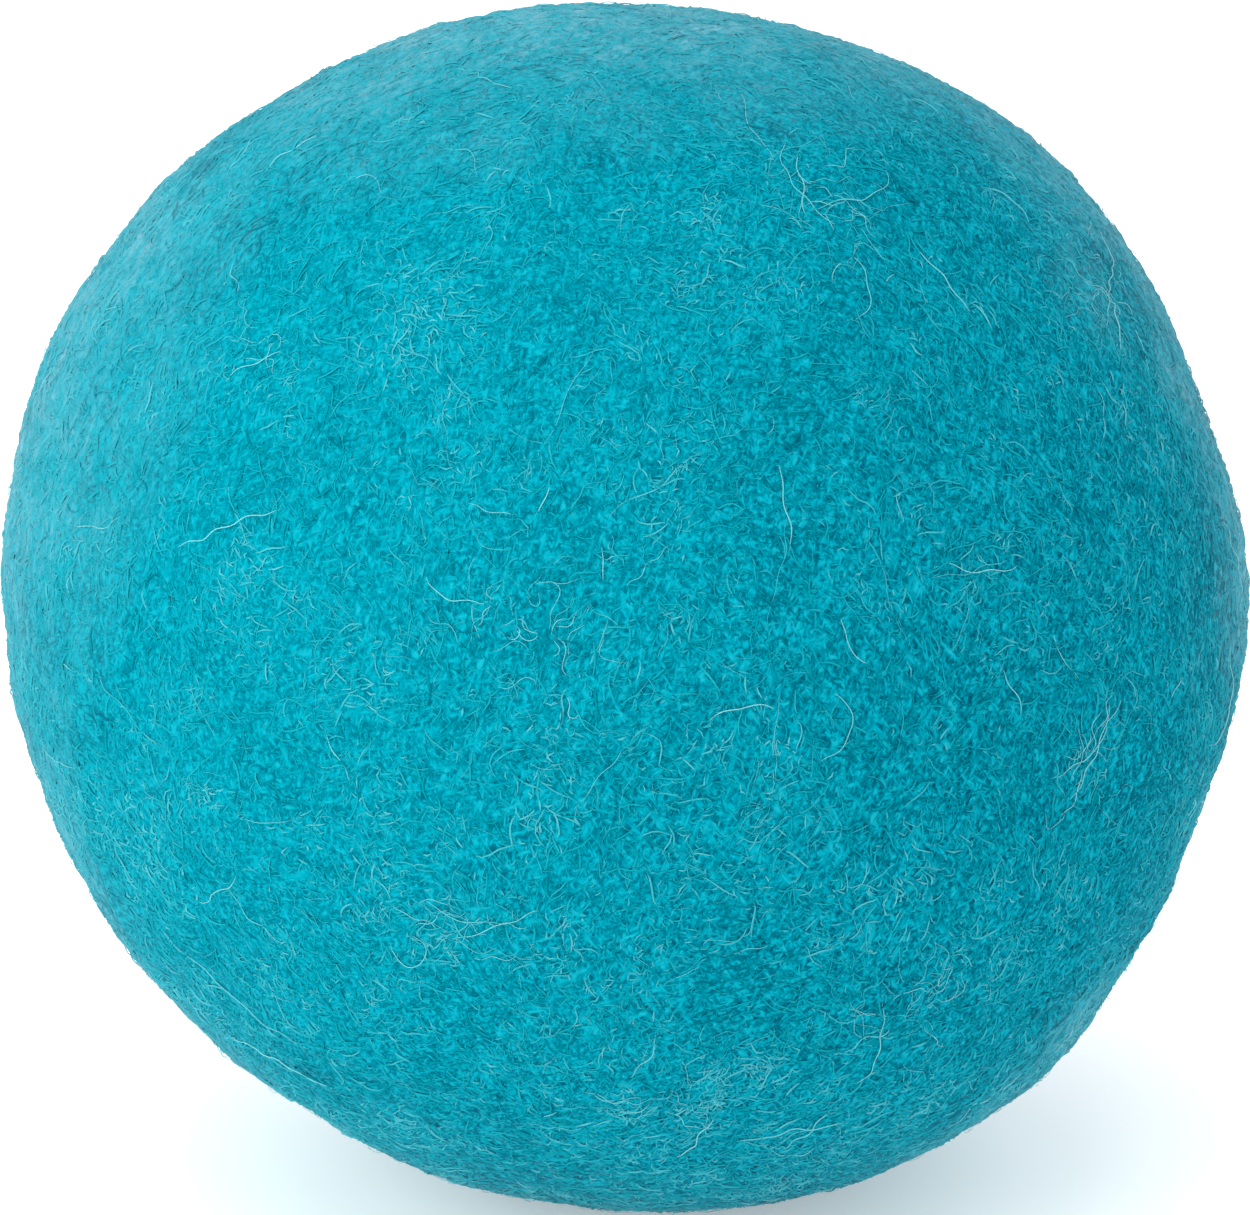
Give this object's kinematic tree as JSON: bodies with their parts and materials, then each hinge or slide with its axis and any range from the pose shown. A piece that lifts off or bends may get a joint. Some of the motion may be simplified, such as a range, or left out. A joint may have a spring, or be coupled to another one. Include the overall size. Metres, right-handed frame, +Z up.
{
  "type": "dryer ball",
  "caption": "Lumpy felted wool ball, dyed turquoise over an undyed wound core, tumbled with laundry to soften and dry it faster.",
  "frame": {"origin": "middle of the small flat patch that the ball rests on, at the bottom centre of its box", "axes": "+Z up out of the resting patch; +X to the ball's right seen from the front, towards its low shoulder; +Y to its back"},
  "size_m": [0.0722, 0.0705, 0.0693],
  "materials": {
    "natural_wool": "undyed wool batting, off-white, matt",
    "dyed_wool": "turquoise wool batting, matt",
    "dyed_felt": "turquoise felted wool, matt, with a pale fuzz of loose fibres"
  },
  "bodies": {
    "root": {"core_roll": "natural_wool", "natural_belt_1": "natural_wool", "natural_belt_2": "natural_wool", "natural_belt_3": "natural_wool", "natural_belt_4": "natural_wool", "natural_belt_5": "natural_wool", "natural_belt_6": "natural_wool", "dyed_belt_1": "dyed_wool", "dyed_belt_2": "dyed_wool", "felted_cover": "dyed_felt"}
  },
  "joints": []
}
